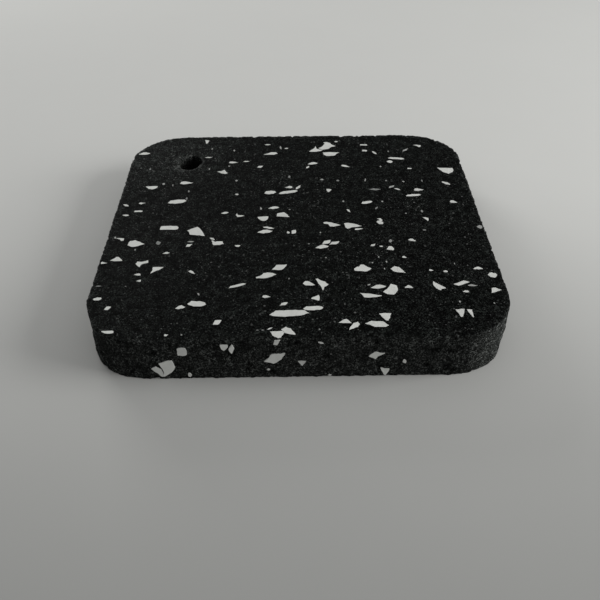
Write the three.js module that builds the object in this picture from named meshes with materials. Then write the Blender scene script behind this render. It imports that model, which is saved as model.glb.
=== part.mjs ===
// Rubber gym floor tile, in the small square format with rounded corners.
// One slab cut from moulded crumb rubber, with one oval hanging hole near its back left corner.
// Millimetres, +Z up. The origin is the centre of the underside, and the front edge faces -Y.

import * as THREE from 'three';

// Driving dimensions of the slab
const TILE_WIDTH = 100;
const TILE_DEPTH = 100;
const TILE_THICKNESS = 11.5;
const CORNER_RADIUS = 15.5;

// The cut leaves the upper and lower edges nearly sharp
const EDGE_ROUNDING = 0.4;
const EDGE_ROUNDING_STEPS = 3;

// The hanging hole goes straight through the slab, a little longer from front to back than it is wide
const HANG_HOLE_WIDTH = 7.5;
const HANG_HOLE_LENGTH = 10;
const HANG_HOLE_FROM_LEFT_EDGE = 18;
const HANG_HOLE_FROM_BACK_EDGE = 17;

// Chords along each quarter turn, a corner's and the hole's alike
const QUARTER_TURN_STEPS = 12;

// Black crumb rubber, matt
const RUBBER_COLOUR = 0x131513;
const RUBBER_ROUGHNESS = 0.85;

const QUARTER_TURN = Math.PI / 2;

// The slab's outline, anticlockwise from the middle of its right side
function tileOutline() {
  const right = TILE_WIDTH / 2;
  const back = TILE_DEPTH / 2;
  const corners = [
    { side: 1, end: 1 },
    { side: -1, end: 1 },
    { side: -1, end: -1 },
    { side: 1, end: -1 },
  ];
  const outline = new THREE.Shape();
  outline.moveTo(right, 0);
  corners.forEach(({ side, end }, index) => {
    const centreX = side * (right - CORNER_RADIUS);
    const centreY = end * (back - CORNER_RADIUS);
    const start = index * QUARTER_TURN;
    outline.absarc(centreX, centreY, CORNER_RADIUS, start, start + QUARTER_TURN, false);
  });
  outline.closePath();
  return outline;
}

// The hole's rim, clockwise because it bounds a hole
function hangHoleRim() {
  const centreX = -TILE_WIDTH / 2 + HANG_HOLE_FROM_LEFT_EDGE;
  const centreY = TILE_DEPTH / 2 - HANG_HOLE_FROM_BACK_EDGE;
  const halfWidth = HANG_HOLE_WIDTH / 2;
  const halfLength = HANG_HOLE_LENGTH / 2;
  const rim = new THREE.Path();
  rim.absellipse(centreX, centreY, halfWidth, halfLength, 0, 2 * Math.PI, true, 0);
  return rim;
}

// The slab, upright on its underside, with its edges and the hole's rims rounded inwards
function rubberTile() {
  const outline = tileOutline();
  outline.holes.push(hangHoleRim());
  const geometry = new THREE.ExtrudeGeometry(outline, {
    depth: TILE_THICKNESS - 2 * EDGE_ROUNDING,
    curveSegments: QUARTER_TURN_STEPS,
    bevelEnabled: true,
    bevelThickness: EDGE_ROUNDING,
    bevelSize: EDGE_ROUNDING,
    bevelOffset: -EDGE_ROUNDING,
    bevelSegments: EDGE_ROUNDING_STEPS,
  });
  geometry.translate(0, 0, EDGE_ROUNDING);
  const rubber = new THREE.MeshStandardMaterial({
    color: RUBBER_COLOUR,
    roughness: RUBBER_ROUGHNESS,
    metalness: 0,
  });
  const tile = new THREE.Mesh(geometry, rubber);
  tile.name = 'rubber_tile';
  return tile;
}

const floorTile = new THREE.Group();
floorTile.add(rubberTile());

export default floorTile;
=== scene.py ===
# Rubber gym floor tile: a square slab of black crumb rubber with pale rubber chips set into it.
# Metres, +Z up. The origin is the centre of the underside, and the front edge faces -Y.

import math
import random

import bmesh
import bpy
from mathutils import Matrix, Vector, noise


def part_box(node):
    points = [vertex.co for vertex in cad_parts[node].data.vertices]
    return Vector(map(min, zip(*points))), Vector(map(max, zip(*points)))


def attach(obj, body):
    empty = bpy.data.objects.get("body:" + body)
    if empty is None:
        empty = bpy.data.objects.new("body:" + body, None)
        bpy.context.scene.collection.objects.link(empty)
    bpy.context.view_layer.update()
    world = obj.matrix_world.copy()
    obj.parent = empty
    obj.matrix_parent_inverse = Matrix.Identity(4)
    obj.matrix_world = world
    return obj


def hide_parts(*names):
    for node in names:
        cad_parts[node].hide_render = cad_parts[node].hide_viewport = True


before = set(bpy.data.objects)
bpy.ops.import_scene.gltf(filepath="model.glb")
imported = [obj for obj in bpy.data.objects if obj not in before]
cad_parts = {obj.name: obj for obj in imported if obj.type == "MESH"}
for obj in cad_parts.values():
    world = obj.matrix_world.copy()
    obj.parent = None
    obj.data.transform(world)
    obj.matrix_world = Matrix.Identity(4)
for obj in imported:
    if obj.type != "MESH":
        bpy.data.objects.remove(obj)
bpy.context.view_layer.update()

bl_info = {
    "name": "Rubber Gym Floor Tile",
    "version": (1, 0, 0),
    "blender": (4, 5, 0),
    "location": "3D View > Sidebar > Floor Tile",
    "description": "Builds a crumb rubber floor tile with pale chips, and a plain studio round it",
    "category": "Object",
}

MM = 0.001
NODE = "rubber_tile"
BODY = "root"
UNDERSIDE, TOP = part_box(NODE)[0].z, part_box(NODE)[1].z
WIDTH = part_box(NODE)[1].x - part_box(NODE)[0].x
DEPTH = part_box(NODE)[1].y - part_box(NODE)[0].y
THICKNESS = TOP - UNDERSIDE

# Two places count as one level, or as one vertex, when they are closer than this
LEVEL_TOLERANCE = 0.01 * MM
WELD_DISTANCE = 0.001 * MM

# Widths of the narrow rings of faces along the slab's edge and round the hole, from the wall on
SLAB_RIMS = (0.3 * MM, 0.4 * MM, 0.5 * MM, 0.6 * MM)
HOLE_RIMS = (0.3 * MM, 0.4 * MM, 0.5 * MM)

# How far the field of small squares keeps from the edge and the hole, and how far the fill round the
# hole reaches
FIELD_MARGIN = 2.4 * MM
FIELD_HOLE_MARGIN = 1.9 * MM
HOLE_FILL_REACH = 3.2 * MM

# Of the crumb relief: the share that a crumb's own height has, the height over which a crumb is lost,
# and the width of a seam in crumb sizes
OWN_HEIGHT_SHARE = 0.4
LOST_CRUMB = 0.92
SEAM_WIDTH = 0.38

# Unevenness of the cut: its length and height on the sides, and the length of the ragged edges
WAVE_LENGTH = 9 * MM
WAVE_HEIGHT = 0.1 * MM
RAGGED_LENGTH = 0.9 * MM

# Distances from an edge over which its wear fades, for the rims and for the uneven corners
RIM_FADE = (1.6 * MM, 0.1 * MM)
CORNER_FADE = (2.3 * MM, 0.2 * MM)
CORNER_REACH = 2.4 * MM

# The back of the sides stands out further than the front, by this share and between these places
BACK_SHARE = 0.9
BACK_RISE = (-10 * MM, 50 * MM)

# Degrees round the front left corner, from the front, where each fault of the cut rises and fades
FULLER_RISE, FULLER_FADE = (0, 25), (62, 48)
CUT_BACK_RISE, CUT_BACK_FADE = (50, 64), (90, 74)
FOOT_RISE, FOOT_FADE = (12, 36), (66, 48)
WAIST_RISE, WAIST_FADE = (40, 55), (90, 74)
CUT_BACK_SHARE = 0.4
WAIST_SHARE = 0.8

# The cut back foot of the front right corner: shares of the height, of the turn and of the way back
TOE_HEIGHT = (0.62, 0.0)
TOE_TURN = (0.72, 0.98)
TOE_END = (-22 * MM, -36 * MM)

# Wear of the hanging hole: its reach, its fade outwards and downwards, and how far left it lies
HOLE_WEAR_REACH = 3 * MM
HOLE_WEAR_FADE = (2.2 * MM, 0.2 * MM)
HOLE_WEAR_DEPTH = (3.5 * MM, 0.3 * MM)
HOLE_WEAR_SIDE = (0.12, 0.75)

# The hole's narrow side: its direction, how far it stands in, and how far from the rim this fades
NARROW_SIDE = Vector((0.62, -0.78, 0))
NARROW_BY = 0.6 * MM
NARROW_FADE = (2 * MM, 0.1 * MM)

# The painted shade inside the hole: from this depth on, and this close to its wall
HOLE_SHADE_DEPTH = (0.3 * MM, 2.5 * MM)
HOLE_SHADE_FADE = (0.6 * MM, 0.1 * MM)

# Painted light on the sides that face right, towards the front, and painted sheen with some dust on the
# face round a place beside the hole
PAINTED_LIGHT_TURN = (0.18, 0.7)
PAINTED_LIGHT_SIDE = (10 * MM, -30 * MM)
SHEEN_AND_DUST_PLACE = (-8 * MM, 4 * MM)
SHEEN_AND_DUST_FADE = (24 * MM, 6 * MM)

# The front and its corners, up to this turn, show in the photograph, so they get listed chips only
SEEN_CORNER_TURN = 0.45 * math.pi

# Chips: the longest step along a cut edge, the largest fray in chip sizes, and how far a side's chips
# keep from its upper and lower edge
CHIP_STEP = 0.8 * MM
CHIP_FRAY_SHARE = 0.12
SIDE_CHIP_GAP = 0.15 * MM

# The outline's slope is measured over this distance
SLOPE_STEP = 0.02 * MM

# Lights and camera. The camera stands away from a place by a distance and two angles, and is rolled.
KEY_LIGHT_PLACE = (0.66, -0.1, 0.27)
BACK_LIGHT_PLACE = (-0.44, 0.77, 0.22)
CAMERA_AIM = Vector((0.49, -21.36, 0)) * MM
CAMERA_DISTANCE = 201.7 * MM
CAMERA_AZIMUTH = math.radians(-0.52)
CAMERA_ELEVATION = math.radians(38.02)
CAMERA_ROLL = math.radians(-0.42)
CAMERA_LENS = 46.39

# Outlines of cut rubber chips, each in a box one unit wide and one unit deep about its own middle
CHIP_OUTLINES = {
    "block": ((-.5, -.42), (-.47, .36), (-.36, .5), (.38, .47), (.5, .12), (.47, -.36), (.3, -.5)),
    "plank": ((-.5, -.2), (-.34, .38), (.08, .5), (.4, .4), (.5, 0), (.3, -.38), (-.1, -.5), (-.4, -.38)),
    "wedge": ((-.5, -.25), (-.42, .38), (-.1, .5), (.2, .22), (.5, -.05), (.15, -.35), (-.2, -.5)),
    "apex": ((-.5, .48), (-.15, .5), (.5, .42), (.36, .05), (.08, -.5), (-.1, -.42), (-.32, .08)),
    "kite": ((-.5, -.42), (-.22, .46), (.5, .5), (.34, -.1), (.12, -.5)),
    "lump": ((-.5, .12), (-.16, .46), (.06, .5), (.42, .26), (.5, -.12), (.1, -.5), (-.34, -.3)),
    "sliver": ((-.5, -.05), (-.12, .5), (.22, .34), (.5, .05), (.1, -.5), (-.3, -.36)),
    "boot": (
        (-.5, .4), (-.2, .5), (.2, .44), (.5, .4), (.34, .1), (.25, -.3), (.1, -.5), (-.3, -.5),
        (-.46, -.2),
    ),
    "dart": (
        (-.5, .12), (-.15, .36), (.04, .5), (.2, .3), (.5, -.46), (.2, -.38), (-.3, -.3), (-.38, -.02),
    ),
    "shield": ((-.5, .5), (-.3, .42), (.46, .4), (.5, 0), (.4, -.25), (.12, -.5), (-.2, -.22)),
    "spike": ((-.5, -.45), (-.12, .1), (0, .5), (.08, 0), (.5, -.18), (.32, -.4), (-.1, -.5)),
    "hook": (
        (-.5, .47), (-.34, .5), (.23, .23), (.5, 0), (.15, -.19), (.06, -.5), (-.06, -.21), (-.26, .08),
    ),
    "bean": ((.09, .5), (.43, .36), (.5, -.07), (.16, -.5), (-.25, -.45), (-.5, -.23), (-.12, .15)),
    "claw": ((-.5, -.04), (-.23, .5), (.5, .36), (.07, -.04), (-.09, -.5), (-.17, -.34)),
    "slate": (
        (-.5, .34), (.07, .5), (.35, .5), (.5, .09), (.24, -.23), (-.3, -.5), (-.33, -.39), (-.22, -.23),
        (-.33, .01),
    ),
    "fin": ((-.5, .33), (-.1, .5), (.39, .27), (.5, -.18), (.39, -.5), (.15, -.24)),
    "crown": (
        (-.28, -.1), (-.22, .1), (-.1, .28), (-.2, .42), (0, .5), (.2, .36), (.3, .12), (.5, -.05),
        (.2, -.2), (.05, -.42), (-.3, -.5), (-.5, -.32),
    ),
    "tick": (
        (-.5, .1), (-.36, .5), (-.28, -.02), (.2, -.04), (.5, -.2), (.1, -.42), (-.3, -.5), (-.46, -.2),
    ),
    "bowl": ((-.5, .44), (.46, .5), (.5, .2), (.26, -.4), (.08, -.5), (-.2, -.34), (-.42, .1)),
    "tent": ((-.5, -.3), (-.46, .28), (.1, .5), (.24, .2), (.5, -.5), (0, -.38)),
    "fang": ((-.5, .46), (0, .5), (.5, .3), (.45, -.25), (.25, -.5), (-.05, 0)),
    "snake": ((-.5, .3), (-.3, .5), (-.02, .3), (.5, -.2), (.1, -.5), (-.1, -.44), (-.2, 0), (-.42, .12)),
    "fish": (
        (-.5, .4), (-.36, .5), (.02, .36), (.5, -.1), (.2, -.22), (-.1, -.3), (-.36, -.5), (-.46, -.3),
    ),
    "leaf": ((-.5, -.3), (-.12, .38), (.12, .5), (.5, .05), (.3, -.3), (-.1, -.5)),
    "cup": (
        (-.5, .42), (-.36, .5), (-.2, .2), (.1, .28), (.4, .3), (.5, -.36), (.4, -.2), (.2, -.42),
        (-.3, -.5),
    ),
    "flake": ((-.5, .1), (-.1, .2), (.18, .5), (.3, .1), (.5, -.25), (.3, -.5), (-.1, -.3)),
    "curl": (
        (-.3, .45), (.2, .5), (.45, .2), (.2, -.05), (.5, -.2), (.45, -.5), (-.2, -.5), (-.5, -.15),
        (-.35, .05), (0, .15), (-.1, .3),
    ),
    "tooth": (
        (-.5, 0), (-.4, .35), (0, .3), (.42, .5), (.5, .2), (.2, .05), (-.02, -.1), (-.15, -.5),
        (-.4, -.2),
    ),
    "flag": ((-.42, .5), (.5, .46), (.16, .04), (-.16, -.12), (-.5, -.5), (-.4, 0)),
    "ladle": (
        (-.5, -.3), (-.3, -.15), (-.12, .4), (.05, .5), (.32, .42), (.5, .1), (.2, -.3), (-.1, -.5),
        (-.46, -.5),
    ),
    "roof": (
        (-.5, -.1), (-.4, .1), (-.2, .2), (-.1, .46), (.1, .4), (.3, .12), (.5, -.08), (.3, -.36),
        (.12, -.5), (-.2, -.38), (-.46, -.35),
    ),
    "spade": (
        (-.5, .5), (-.3, .36), (0, .3), (.2, .1), (.5, -.12), (.2, -.36), (-.1, -.5), (-.34, -.4),
        (-.4, 0),
    ),
    "shard": (
        (-.42, .5), (-.1, .22), (.3, -.1), (.5, -.28), (.1, -.36), (.04, -.5), (-.3, -.3), (-.5, .1),
    ),
    "lath": ((-.5, -.2), (-.16, .1), (.18, .5), (.5, .16), (.2, -.1), (-.2, -.5)),
    "arrow": ((-.5, -.5), (-.3, .45), (0, .5), (.5, 0), (.1, -.2), (-.2, -.4)),
    "petal": (
        (-.5, -.3), (-.33, -.05), (-.14, .42), (.15, .46), (.5, .5), (.3, -.08), (.1, -.36),
        (-.07, -.5), (-.3, -.4),
    ),
    "loaf": ((-.5, .1), (-.2, .5), (.28, .42), (.5, -.25), (.36, -.5), (-.1, -.46), (-.3, -.1)),
}

# The chips that show on the walking face, by outline: right of the middle, behind it, width, depth
# in millimetres and turn in degrees. A negative width or depth turns the outline over.
FACE_CHIPS = {
    "block": (
        (21.7, 43.6, 2.2, .9, -3), (21.7, 39.7, 1.5, 1.1, -8), (34.3, 27.7, 1.3, .7, 0),
        (-44, 4.9, 2.4, .7, 2), (-34.4, -3.8, 5, 1.9, 0), (-43.2, -46.9, 2.9, 1, 3),
    ),
    "plank": (
        (31, 34.3, 5.1, 1.2, -11), (-2.3, 14.5, 5.6, 1.5, 11), (33.4, 11.9, 4.5, 1.1, 4),
        (-14.8, -30.1, 4.5, .9, 20), (3.4, -39.2, 4.8, 1.6, 0), (-2.2, -41, 9.2, 2.4, 0),
        (-33.8, 9.9, 5.1, 2, 6), (-7.5, 14.4, 3.4, 1.8, 2), (-24, -37, 4.4, 2, -10),
        (19.8, 8.3, 3.3, 1.3, 12),
    ),
    "wedge": (
        (-19.1, 32.9, 2.6, 1.1, 0), (-7.9, 38.3, -4.3, 1.6, 12), (15.1, 29.7, 2.8, 1.2, -25),
        (-32.2, 20.6, 3.9, 1.6, 0), (-2.2, 17.3, -2.2, 1.3, 0), (35.3, 15, 2.7, 1.5, 0),
        (44.3, 8, 2.2, 1.4, -18), (-42.2, -11.2, 4.4, 3.1, 0), (-26.3, -24.3, 2, .9, -38),
        (-49.2, -19.8, 2, .8, 0), (-39.8, -25, -1.6, 1, 0), (-39.1, -27.6, -1.2, .8, 0),
        (16.5, -5.5, 2.3, .8, 8), (25.1, -24.5, 4.1, 2.3, -34), (-7.6, -34.6, 2, 1, -4),
        (-2.2, -47.5, 3.8, 2, -36), (12.5, -46, 3.5, 1.5, 228), (2.7, -29.7, 3, 1.8, -20),
        (30.2, -11.2, 2.1, 1.2, -24), (27.2, -18.9, 1.3, .8, -20), (23.9, -14.9, -1.9, 2, 20),
        (33.2, -24.7, 1.2, .7, -12), (40.1, -33.6, -1.4, .8, 0), (-29.9, -48.2, .9, .7, 30),
    ),
    "apex": (
        (-28.4, 46.9, 1.4, 2.6, 0), (9.3, 15.1, 1.5, 1.8, -8), (-46, -18.1, 3.2, -1.9, -4),
        (20.1, -42.8, 2.9, 2.8, 5), (37.6, -41.7, -2.2, 2.9, 0), (39.9, -41.9, 1.1, 3.1, 8),
        (26.7, -31.3, 2.1, -1.2, -5), (10.6, -44.1, 3, -1.4, -4), (44.9, -24, 2.5, -1.1, -5),
        (4, -35.4, 2.2, 2, -85),
    ),
    "kite": (
        (-4.6, -22.7, 3.6, 2.3, 0), (7.7, -11.6, 2.5, 1.5, 8), (9.7, -12.1, 2.7, 1.3, 5),
        (-18.7, -44, 1.9, 1.7, 0), (-3.5, -37.5, 2.1, 1, 10), (-44.7, -38.3, 1.5, 1.3, 0),
        (19.6, -13.3, 1.5, .8, 12), (-10.9, 29.9, 1.8, 1.2, 0), (-.9, -6.5, 1.6, 1.5, 20),
        (-28.3, -12.4, 1.5, 1.2, 0),
    ),
    "lump": (
        (-2.9, 41.8, 1.2, .7, 0), (13, 46.1, 1.1, .8, 0), (-8.9, 44.5, 1.9, .7, 0),
        (28.8, 32.2, 1.8, 1.7, 0), (21.7, -13.9, .9, .7, 0), (36.6, -25.3, 1.2, .9, 0),
        (-47.3, 2.9, 1.8, .8, 0), (-48, 8.2, 1.8, .8, -25), (-2.4, -6.8, .8, 1.1, 0),
        (-47.8, -34.7, 2.1, 1.2, 14), (47.9, -27.1, 2.3, 2.2, 10), (-17.1, 13.5, .9, .8, 0),
        (43.8, 18.6, 3, 1.1, -38),
    ),
    "leaf": (
        (-47.3, 39.4, 3.7, 1.7, 0), (5.2, 31.7, 3.2, 1.5, 4), (-6.4, 6, 3.1, 1.4, 0),
        (-8.6, -6.1, 4.2, 1.8, 0), (-19.9, 3.6, 2.1, 1.1, 0), (-33.8, -15.7, 2, .9, 0),
        (-27.8, -38.2, 2.3, 1.4, 0), (6.4, -13.7, 3.5, 1.8, 0), (19.4, -31.2, 3.8, 1.5, 0),
    ),
    "sliver": (
        (24.6, 38.2, 2.5, .8, -62), (3.6, 29.3, 1.7, .8, 60), (29.2, 15.5, 1.8, .7, -35),
        (.5, 17.1, 2.7, .9, 55), (14.4, 3.9, 2, .6, -66), (-22.4, -9.4, 1.7, .8, -40),
        (-7.7, -4.3, 3.2, .9, -18), (-27, 36.3, 2.3, .7, 0), (-15.2, 33.4, 1.9, .6, 4),
        (-6.6, -46.4, 1.4, .5, 30),
    ),
    "bowl": (
        (-9.3, .2, 3, 2.3, 0), (-42.2, 17.9, 3.5, 1.8, 0), (-15.6, -12.9, 1.5, .8, 0),
        (-4.9, -48.5, 3.1, 2.4, 0),
    ),
    "fang": ((38.5, 42.4, 2.3, 1.7, 0), (35.2, -1, 1.5, 1.9, 0), (-46.7, -9.2, 2.1, 1.5, 0)),
    "claw": ((-43.6, 9.1, 1.9, 1, 0),),
    "boot": ((11.1, 37.7, 5.1, 2.4, 0),),
    "dart": ((-27, -5.8, 5, 4.8, 0),),
    "shield": ((45, 26.2, 4.8, 3.8, 0),),
    "spike": ((6.4, 41.2, 4.3, 3.8, 0),),
    "hook": ((5.8, -30.1, 3.1, 4.9, 0),),
    "bean": ((22.2, -32.3, 3.7, 4.3, 0),),
    "crown": ((10, 43.3, 5.4, 5.2, 0),),
    "tick": ((-15.6, 2.3, 2.5, 2, 0),),
    "tent": ((-3.8, 2.2, 3.6, 2.5, 0),),
    "snake": ((9.4, -2.9, 4.7, 2.5, 0),),
    "fish": ((15.1, -3.8, 4.5, 3, 0),),
    "cup": ((-20.9, -11.3, 3.3, 2.3, 0),),
    "flake": ((-22.1, 26.9, 3.1, 2.6, 0),),
    "curl": ((22.5, -1.7, 1.8, 2.9, 0),),
    "tooth": ((-39.3, -20.4, 3.2, 2.8, 0),),
    "flag": ((-35.1, -23.3, 3, 2.8, 0),),
    "ladle": ((-7.9, -26, 5, 2.3, 0),),
    "roof": ((16.2, -23.4, 4.4, 3.2, 0),),
    "spade": ((17.4, -34.6, 5.2, 1.9, 0),),
    "shard": ((34.2, -31.2, 3, 3.6, 0),),
    "lath": ((39.7, -30.2, 4.1, 2.2, 0),),
    "arrow": ((47.5, -33.2, 2.6, 2.1, 0),),
    "loaf": ((17.7, -45.3, 5.4, 2.1, 0),),
}

# Greyer chips and small specks of the walking face, in the same words
FACE_GREY_CHIPS = {
    "sliver": (
        (-26.3, 42, .5, 1.5, 0), (-4.7, 42.4, .6, 2.3, 8), (34.4, 39.8, 3, .8, 42),
        (-31.1, 15.6, .5, 1.2, 5), (-31.3, 11.6, .6, 1.4, 5), (-10, 5.7, .6, 1.6, 8),
        (22.7, 15.5, 3.6, 1, -4), (27.7, 16.9, 2.2, .9, 38), (22.3, 5.2, 1.7, .6, 62),
        (34.7, 3.2, .6, 1.4, 0), (-36.4, -11, 1.2, 1.9, 15), (24.4, -11.4, .8, 1.6, -14),
        (-28, -10.6, 1.8, .6, 4), (20.4, 21, .4, 1.9, -8), (37, 20.2, .4, 1.6, 0),
        (-26.2, 28.8, .4, 1.2, 8), (-48.5, -29.6, 1.5, .4, 0), (-23.9, -33.3, .4, 1.1, 25),
        (42.2, -31.2, 2.4, .7, -6), (21.6, -23.8, .3, .8, 0), (39.4, -22, .3, .8, 0),
        (-36.1, 19.2, .4, 1.1, 10), (17.2, -30.4, 1, .5, 35), (-9.4, -46.9, .7, .3, 0),
    ),
    "lump": (
        (-19.3, 40.7, .5, 1.1, 0), (-44.1, 29.1, .6, 1, 0), (-20.3, 30.5, .6, .8, 0),
        (25.7, 29.2, .5, .8, 0), (29, 39, .5, .9, 0), (-17.6, 21.5, .8, 1, 0),
        (-38.9, 20, .8, 1.1, 0), (7.6, 21.6, .9, 1, 0), (12.3, 20.8, .8, .9, 0),
        (24.2, 8.6, .5, .7, 0), (13.2, 9, .5, .8, 0), (26.5, 20.5, .5, .8, 0),
        (31.5, 19.8, .7, .8, 0), (30.1, 2.1, .5, .6, 0), (-42, -14.1, .4, .8, 0),
        (22.4, -20.8, .4, .8, 0), (18.8, -21.2, .5, .5, 0), (20.6, -18.7, .4, .7, 0),
        (7.2, -18.7, .5, .5, 0), (6.2, -7, .4, .6, 0), (3, -12.3, .5, .5, 0),
        (-26.4, -48.2, .4, .5, 0), (4.6, -46.9, .4, .5, 0), (38, -37.5, .4, .8, 0),
        (46, -38.2, .4, .5, 0), (-2.2, -27.5, .3, .6, 0), (-8.2, -46.9, .7, .3, 0),
        (-48.2, -8.3, .6, .9, 0), (-2, 4.9, .5, .4, 0), (34, -6.4, .9, .5, 0),
        (49.1, -5.2, 1.6, 1.7, 0), (-41.9, -29.8, .4, .3, 0), (-2, 23.5, .8, 1.4, 0),
    ),
}

# The chips that show on the front side, by outline: right of the middle, above the underside,
# width, height in millimetres and turn in degrees
FRONT_CHIPS = {
    "slate": ((-30.2, 3.1, 3.7, 5, 0),),
    "fin": ((-32.6, 2.2, 2.6, 3.2, 0),),
    "lump": ((24, 4.4, .9, 1.2, 20), (-25.3, 1.2, .9, 1.3, 0)),
    "block": ((-26.4, 8.2, 2.1, 2.3, 0),),
    "apex": ((.6, 4.3, 1.8, 1.5, 0), (19.7, 1.3, 2, 2, 0)),
    "sliver": (
        (-15.2, 8.9, 1.2, 2.7, -8), (7, .5, .8, .4, 0), (-7.1, 2.5, .8, .4, 0),
        (4.8, 10.4, 1.3, .4, -20),
    ),
    "petal": ((-5.6, 5.9, 5, 3, 0),),
    "kite": ((-5.1, 10.8, 1.6, 1.6, 0),),
    "claw": ((17.6, 6.3, 3.6, 2.2, 0),),
    "bowl": ((-17, 9.4, 1.8, 1.7, -12),),
}


def clamp(value, low=0.0, high=1.0):
    """The value, held between two limits."""
    return min(high, max(low, value))


def smooth_step(low, high, value):
    """0 at low and 1 at high, with a soft rise between them, or a fall where low is above high."""
    share = clamp((value - low) / (high - low))
    return share * share * (3 - 2 * share)


# Sizes and colours

def length(name, description, default, high, low=0.0):
    """A length property, its numbers in millimetres."""
    return bpy.props.FloatProperty(
        name=name, description=description, default=default * MM, min=low * MM, max=high * MM,
        unit="LENGTH", precision=5)


def plan_lengths(name, description, across, along):
    """Two lengths in the plan, in millimetres."""
    return bpy.props.FloatVectorProperty(
        name=name, description=description, default=(across * MM, along * MM), size=2,
        unit="LENGTH", precision=5)


def tint(name, description, *default):
    """A colour property."""
    return bpy.props.FloatVectorProperty(
        name=name, description=description, default=default, size=3, subtype="COLOR", min=0.0, max=1.0)


def wattage(name, description, default):
    """A lamp's power."""
    return bpy.props.FloatProperty(
        name=name, description=description, default=default, min=0.0, unit="POWER")


class TileSlabSettings(bpy.types.PropertyGroup):
    """Sizes and colours of the rubber slab"""

    corner_radius: length("Corner radius", "Radius of the slab's four corners", 15.5, 45, 1)
    hole_centre: plan_lengths(
        "Hole centre", "Place of the hanging hole from the middle of the slab", -32, 33)
    hole_size: plan_lengths("Hole size", "Width and length of the oval hanging hole", 7.5, 10)
    chord: length("Edge step", "Length of the short steps along the slab's sides", 0.5, 4, 0.2)
    face_chord: length(
        "Face step", "Length of the steps across the upper and lower face", 0.8, 5, 0.3)
    crumb_size: length(
        "Crumb size", "Size of the rubber crumbs that the slab is moulded from", 1.15, 6, 0.5)
    side_relief: length(
        "Side relief", "How deep the seams between crumbs are on the cut sides", 0.2, 1)
    face_relief: length(
        "Face relief", "How deep the seams between crumbs are on the flat faces", 0.04, 0.3)
    side_bulge: length(
        "Side bulge", "How far the crumbs of the cut sides stand out past the cut", 0.25, 1)
    corner_bulge: length(
        "Corner bulge", "How far the upper edge stands out at the unevenly cut corner", 0.6, 2)
    flare: length("Worn corner flare", "How far the foot of the worn corner spreads", 0.35, 2)
    toe_cut: length(
        "Cut back foot", "How far the foot of the front right corner is cut back", 0.7, 2)
    rubber_colour: tint(
        "Rubber", "Colour of the blackest crumbs of the faces", 0.0008, 0.0009, 0.00085)
    crumb_colour: tint(
        "Grey crumbs", "Colour of the greyest crumbs of the faces", 0.031, 0.0355, 0.033)
    side_colour: tint(
        "Side rubber", "Colour of the blackest crumbs of the cut sides", 0.0082, 0.009, 0.0085)
    side_crumb_colour: tint(
        "Side grey crumbs", "Colour of the greyest crumbs of the cut sides", 0.134, 0.143, 0.137)
    dust_colour: tint("Dust", "Colour of the fine pale dust", 0.2, 0.205, 0.2)


class TileChipSettings(bpy.types.PropertyGroup):
    """Sizes and colours of the pale chips"""

    proud: length("Chip height", "How far the chips stand above the surface", 0.025, 0.2)
    sunk: length("Chip depth", "How deep the chips are set into the slab", 0.6, 3, 0.1)
    fray: length("Chip fray", "How uneven the chips' cut edges are", 0.09, 0.5)
    edge_gap: length("Edge gap", "Least distance from a face's chips to the slab's edge", 0.25, 3)
    underside_count: bpy.props.IntProperty(
        name="Chips below", description="Number of chips on the underside", default=130, min=0, max=600)
    side_count: bpy.props.IntProperty(
        name="Chips round", description="Number of chips on the left, back and right sides",
        default=44, min=0, max=300)
    seed: bpy.props.IntProperty(
        name="Seed", description="Another number gives the unseen chips other places", default=7, min=0)
    chip_colour: tint("Chips", "Colour of the pale chips", 0.63, 0.64, 0.615)
    grey_colour: tint(
        "Grey chips", "Colour of the greyest chips and specks", 0.17, 0.175, 0.17)


class TileStageSettings(bpy.types.PropertyGroup):
    """Colours and strengths of the studio"""

    floor_colour: tint("Floor", "Colour of the plain floor", 0.56, 0.565, 0.55)
    room_strength: bpy.props.FloatProperty(
        name="Room light", description="Strength of the even light from all round", default=0.42, min=0.0)
    key_power: wattage("Key light", "Power of the soft light from the right", 4.6)
    back_power: wattage("Back light", "Power of the wide light from behind", 4.2)


# Shader node groups and materials

def new_group(name, inputs, outputs):
    """An empty shader node group with named sockets, and its two end nodes."""
    group = bpy.data.node_groups.new(name, "ShaderNodeTree")
    for socket_name, kind, default in inputs:
        socket = group.interface.new_socket(name=socket_name, in_out="INPUT", socket_type=kind)
        if default is not None:
            socket.default_value = default
    for socket_name, kind in outputs:
        group.interface.new_socket(name=socket_name, in_out="OUTPUT", socket_type=kind)
    start = group.nodes.new("NodeGroupInput")
    end = group.nodes.new("NodeGroupOutput")
    return group, start, end


def set_socket(tree, socket, value):
    """Gives a socket a number or colour, or links it to another socket."""
    if isinstance(value, (int, float, tuple)):
        socket.default_value = value
    else:
        tree.links.new(value, socket)


def add_math(tree, operation, first, second=None, third=None):
    """A math node whose inputs are sockets or numbers. Returns its output."""
    node = tree.nodes.new("ShaderNodeMath")
    node.operation = operation
    for index, value in enumerate((first, second, third)):
        if value is not None:
            set_socket(tree, node.inputs[index], value)
    return node.outputs[0]


def add_range(tree, value, low, high, new_low=0.0, new_high=1.0):
    """A softly clamped range from low..high to new_low..new_high. Returns its output."""
    node = tree.nodes.new("ShaderNodeMapRange")
    node.interpolation_type = "SMOOTHSTEP"
    limits = {"From Min": low, "From Max": high, "To Min": new_low, "To Max": new_high}
    for name, limit in limits.items():
        set_socket(tree, node.inputs[name], limit)
    tree.links.new(value, node.inputs["Value"])
    return node.outputs["Result"]


def add_mix(tree, share, first, second):
    """A colour mix of two sockets or colours. Returns its output."""
    node = tree.nodes.new("ShaderNodeMix")
    node.data_type = "RGBA"
    sockets = {socket.identifier: socket for socket in node.inputs}
    for name, value in (("Factor_Float", share), ("A_Color", first), ("B_Color", second)):
        set_socket(tree, sockets[name], value)
    return next(socket for socket in node.outputs if socket.identifier == "Result_Color")


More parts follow.
